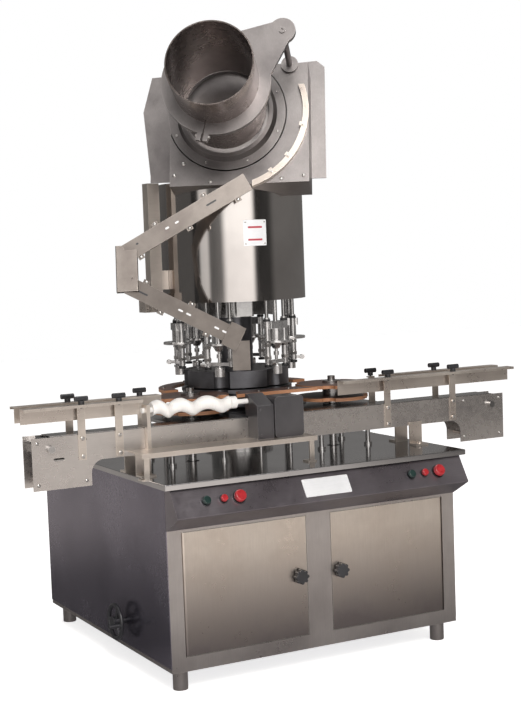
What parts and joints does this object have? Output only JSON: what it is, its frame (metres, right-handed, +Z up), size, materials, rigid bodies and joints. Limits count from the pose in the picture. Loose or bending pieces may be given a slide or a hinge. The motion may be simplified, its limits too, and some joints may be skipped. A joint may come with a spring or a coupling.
{
  "type": "capping machine",
  "caption": "Free-standing rotary capping machine: cabinet base, slat conveyor with guide rails, container screw, star wheels, turret of closing heads, tilted cap feeder.",
  "frame": {"origin": "on the floor, under the middle of the machine's outline", "axes": "+X is the way containers travel, +Y runs from the front doors to the back, +Z is up"},
  "size_m": [1.944, 1.2949, 2.2051],
  "materials": {
    "brushed_steel": "brushed",
    "door_steel": "brushed",
    "side_steel": "satin",
    "polished_steel": "polished",
    "light_steel": "brushed",
    "machined_steel": "machined",
    "console_steel": "satin",
    "feeder_steel": "bead blasted",
    "tube_steel": "rolled",
    "cast_parts": "painted",
    "black_plastic": "matt",
    "button_green": "gloss",
    "button_red": "gloss",
    "white_plate": "satin",
    "nylon": "moulded",
    "phenolic": "laminated",
    "guard_grey": "satin"
  },
  "bodies": {
    "base": {"base_frame": "brushed_steel", "cabinet_panels": "side_steel", "table_top": "polished_steel", "feet": "brushed_steel", "control_console": "console_steel", "name_plate": "white_plate", "button_bezels": "polished_steel", "base_drive": "cast_parts", "conveyor_front_plate": "brushed_steel", "conveyor_rear_plate": "brushed_steel", "conveyor_supports": "light_steel", "slat_chain": "machined_steel", "rail_brackets": "light_steel", "rail_clamp_knobs": "black_plastic", "screw_platform": "light_steel", "screw_gearbox": "guard_grey", "guide_plate": "phenolic", "transfer_deck": "machined_steel"},
    "left_door": {"left_door": "door_steel"},
    "right_door": {"right_door": "door_steel"},
    "left_door_knob": {"left_door_knob": "black_plastic"},
    "right_door_knob": {"right_door_knob": "black_plastic"},
    "handwheel": {"handwheel": "black_plastic"},
    "idler_sprocket": {"idler_sprocket": "machined_steel"},
    "drive_sprocket": {"drive_sprocket": "machined_steel"},
    "near_rail_left": {"near_rail_left": "light_steel"},
    "near_rail_right": {"near_rail_right": "light_steel"},
    "far_rail_left": {"far_rail_left": "light_steel"},
    "far_rail_right": {"far_rail_right": "light_steel"},
    "timing_screw": {"timing_screw": "nylon"},
    "infeed_star": {"infeed_star": "phenolic"},
    "discharge_star": {"discharge_star": "phenolic"},
    "turret": {"turret_column": "machined_steel"},
    "lift": {"lift_column": "machined_steel", "drum_cover": "polished_steel", "feeder_housing": "feeder_steel", "hopper_tube": "tube_steel", "tube_clamp": "feeder_steel", "cap_track": "light_steel", "cap_chute": "feeder_steel"},
    "rotor": {"upper_rotor": "machined_steel"},
    "feeder_disc": {"feeder_disc": "feeder_steel"},
    "push_button_1": {"push_button_1": "button_green"},
    "capping_head_1": {"capping_head_1": "machined_steel"},
    "chuck_spindle_1": {"chuck_spindle_1": "machined_steel"},
    "push_button_2": {"push_button_2": "button_red"},
    "capping_head_2": {"capping_head_2": "machined_steel"},
    "chuck_spindle_2": {"chuck_spindle_2": "machined_steel"},
    "push_button_3": {"push_button_3": "button_red"},
    "capping_head_3": {"capping_head_3": "machined_steel"},
    "chuck_spindle_3": {"chuck_spindle_3": "machined_steel"},
    "push_button_4": {"push_button_4": "button_green"},
    "capping_head_4": {"capping_head_4": "machined_steel"},
    "chuck_spindle_4": {"chuck_spindle_4": "machined_steel"},
    "push_button_5": {"push_button_5": "button_red"},
    "capping_head_5": {"capping_head_5": "machined_steel"},
    "chuck_spindle_5": {"chuck_spindle_5": "machined_steel"},
    "push_button_6": {"push_button_6": "button_red"},
    "capping_head_6": {"capping_head_6": "machined_steel"},
    "chuck_spindle_6": {"chuck_spindle_6": "machined_steel"}
  },
  "joints": [
    {"name": "left_door_hinge", "type": "hinge", "parent": "base", "child": "left_door", "pos_m": [-0.5035, -0.543, 0.324], "axis": [0, 0, 1], "range_deg": [-95, 0]},
    {"name": "right_door_hinge", "type": "hinge", "parent": "base", "child": "right_door", "pos_m": [0.5035, -0.543, 0.324], "axis": [0, 0, 1], "range_deg": [0, 95]},
    {"name": "left_knob_turn", "type": "hinge", "parent": "left_door", "child": "left_door_knob", "pos_m": [-0.08, -0.552, 0.327], "axis": [0, 1, 0], "range_deg": [0, 90]},
    {"name": "right_knob_turn", "type": "hinge", "parent": "right_door", "child": "right_door_knob", "pos_m": [0.08, -0.552, 0.327], "axis": [0, 1, 0], "range_deg": [-90, 0]},
    {"name": "turret_spin", "type": "hinge", "parent": "base", "child": "turret", "pos_m": [0, 0.021, 0.9], "axis": [0, 0, 1], "continuous": true},
    {"name": "head_lift", "type": "slide", "parent": "base", "child": "lift", "axis": [0, 0, 1], "range_m": [0, 0.1]},
    {"name": "handwheel_turn", "type": "hinge", "parent": "base", "child": "handwheel", "pos_m": [-0.602, -0.168, 0.167], "axis": [-1, 0, 0], "range_deg": [0, 3600]},
    {"name": "rotor_spin", "type": "hinge", "parent": "lift", "child": "rotor", "pos_m": [0, 0.021, 1.3], "axis": [0, 0, 1], "continuous": true},
    {"name": "feeder_spin", "type": "hinge", "parent": "lift", "child": "feeder_disc", "pos_m": [-0.10338, -0.18663, 1.916], "axis": [-0.5351, -0.7962, 0.2823], "continuous": true},
    {"name": "idler_spin", "type": "hinge", "parent": "base", "child": "idler_sprocket", "pos_m": [-0.88, -0.3265, 0.82], "axis": [0, 1, 0], "continuous": true},
    {"name": "conveyor_spin", "type": "hinge", "parent": "base", "child": "drive_sprocket", "pos_m": [0.874, -0.3265, 0.82], "axis": [0, 1, 0], "continuous": true},
    {"name": "infeed_star_spin", "type": "hinge", "parent": "base", "child": "infeed_star", "pos_m": [-0.28947, -0.1845, 0.9], "axis": [0, 0, 1], "continuous": true},
    {"name": "discharge_star_spin", "type": "hinge", "parent": "base", "child": "discharge_star", "pos_m": [0.28947, -0.1845, 0.9], "axis": [0, 0, 1], "continuous": true},
    {"name": "screw_spin", "type": "hinge", "parent": "base", "child": "timing_screw", "pos_m": [-0.4, -0.3705, 0.917], "axis": [1, 0, 0], "continuous": true},
    {"name": "near_rail_left_adjust", "type": "slide", "parent": "base", "child": "near_rail_left", "axis": [0, 1, 0], "range_m": [-0.006, 0.006]},
    {"name": "near_rail_right_adjust", "type": "slide", "parent": "base", "child": "near_rail_right", "axis": [0, 1, 0], "range_m": [-0.006, 0.006]},
    {"name": "far_rail_left_adjust", "type": "slide", "parent": "base", "child": "far_rail_left", "axis": [0, 1, 0], "range_m": [-0.006, 0.006]},
    {"name": "far_rail_right_adjust", "type": "slide", "parent": "base", "child": "far_rail_right", "axis": [0, 1, 0], "range_m": [-0.006, 0.006]},
    {"name": "button_1_press", "type": "slide", "parent": "base", "child": "push_button_1", "axis": [0, 0.8502, -0.5265], "range_m": [0, 0.005], "stiffness_N_per_m": 400, "springref_m": -0.002},
    {"name": "button_2_press", "type": "slide", "parent": "base", "child": "push_button_2", "axis": [0, 0.8502, -0.5265], "range_m": [0, 0.005], "stiffness_N_per_m": 400, "springref_m": -0.002},
    {"name": "button_3_press", "type": "slide", "parent": "base", "child": "push_button_3", "axis": [0, 0.8502, -0.5265], "range_m": [0, 0.005], "stiffness_N_per_m": 400, "springref_m": -0.002},
    {"name": "button_4_press", "type": "slide", "parent": "base", "child": "push_button_4", "axis": [0, 0.8502, -0.5265], "range_m": [0, 0.005], "stiffness_N_per_m": 400, "springref_m": -0.002},
    {"name": "button_5_press", "type": "slide", "parent": "base", "child": "push_button_5", "axis": [0, 0.8502, -0.5265], "range_m": [0, 0.005], "stiffness_N_per_m": 400, "springref_m": -0.002},
    {"name": "button_6_press", "type": "slide", "parent": "base", "child": "push_button_6", "axis": [0, 0.8502, -0.5265], "range_m": [0, 0.005], "stiffness_N_per_m": 400, "springref_m": -0.002},
    {"name": "head_1_slide", "type": "slide", "parent": "rotor", "child": "capping_head_1", "axis": [0, 0, 1], "range_m": [-0.038, 0]},
    {"name": "head_2_slide", "type": "slide", "parent": "rotor", "child": "capping_head_2", "axis": [0, 0, 1], "range_m": [-0.038, 0]},
    {"name": "head_3_slide", "type": "slide", "parent": "rotor", "child": "capping_head_3", "axis": [0, 0, 1], "range_m": [-0.038, 0]},
    {"name": "head_4_slide", "type": "slide", "parent": "rotor", "child": "capping_head_4", "axis": [0, 0, 1], "range_m": [-0.038, 0]},
    {"name": "head_5_slide", "type": "slide", "parent": "rotor", "child": "capping_head_5", "axis": [0, 0, 1], "range_m": [-0.038, 0]},
    {"name": "head_6_slide", "type": "slide", "parent": "rotor", "child": "capping_head_6", "axis": [0, 0, 1], "range_m": [-0.038, 0]},
    {"name": "chuck_1_spin", "type": "hinge", "parent": "capping_head_1", "child": "chuck_spindle_1", "pos_m": [0.14499, 0.17703, 1], "axis": [0, 0, 1], "continuous": true},
    {"name": "chuck_2_spin", "type": "hinge", "parent": "capping_head_2", "child": "chuck_spindle_2", "pos_m": [-0.06263, 0.22458, 1], "axis": [0, 0, 1], "continuous": true},
    {"name": "chuck_3_spin", "type": "hinge", "parent": "capping_head_3", "child": "chuck_spindle_3", "pos_m": [-0.20762, 0.06855, 1], "axis": [0, 0, 1], "continuous": true},
    {"name": "chuck_4_spin", "type": "hinge", "parent": "capping_head_4", "child": "chuck_spindle_4", "pos_m": [-0.14499, -0.13503, 1], "axis": [0, 0, 1], "continuous": true},
    {"name": "chuck_5_spin", "type": "hinge", "parent": "capping_head_5", "child": "chuck_spindle_5", "pos_m": [0.06263, -0.18258, 1], "axis": [0, 0, 1], "continuous": true},
    {"name": "chuck_6_spin", "type": "hinge", "parent": "capping_head_6", "child": "chuck_spindle_6", "pos_m": [0.20762, -0.02655, 1], "axis": [0, 0, 1], "continuous": true}
  ],
  "couplings": [
    {"joint": "handwheel_turn", "follows": "head_lift", "rad_per_m": 628},
    {"joint": "rotor_spin", "follows": "turret_spin", "ratio": 1},
    {"joint": "infeed_star_spin", "follows": "turret_spin", "ratio": -1.5},
    {"joint": "discharge_star_spin", "follows": "turret_spin", "ratio": -1.5},
    {"joint": "screw_spin", "follows": "turret_spin", "ratio": 6},
    {"joint": "idler_spin", "follows": "turret_spin", "ratio": -5.46},
    {"joint": "conveyor_spin", "follows": "turret_spin", "ratio": -5.46},
    {"joint": "chuck_1_spin", "follows": "turret_spin", "ratio": 8},
    {"joint": "chuck_2_spin", "follows": "turret_spin", "ratio": 8},
    {"joint": "chuck_3_spin", "follows": "turret_spin", "ratio": 8},
    {"joint": "chuck_4_spin", "follows": "turret_spin", "ratio": 8},
    {"joint": "chuck_5_spin", "follows": "turret_spin", "ratio": 8},
    {"joint": "chuck_6_spin", "follows": "turret_spin", "ratio": 8}
  ]
}
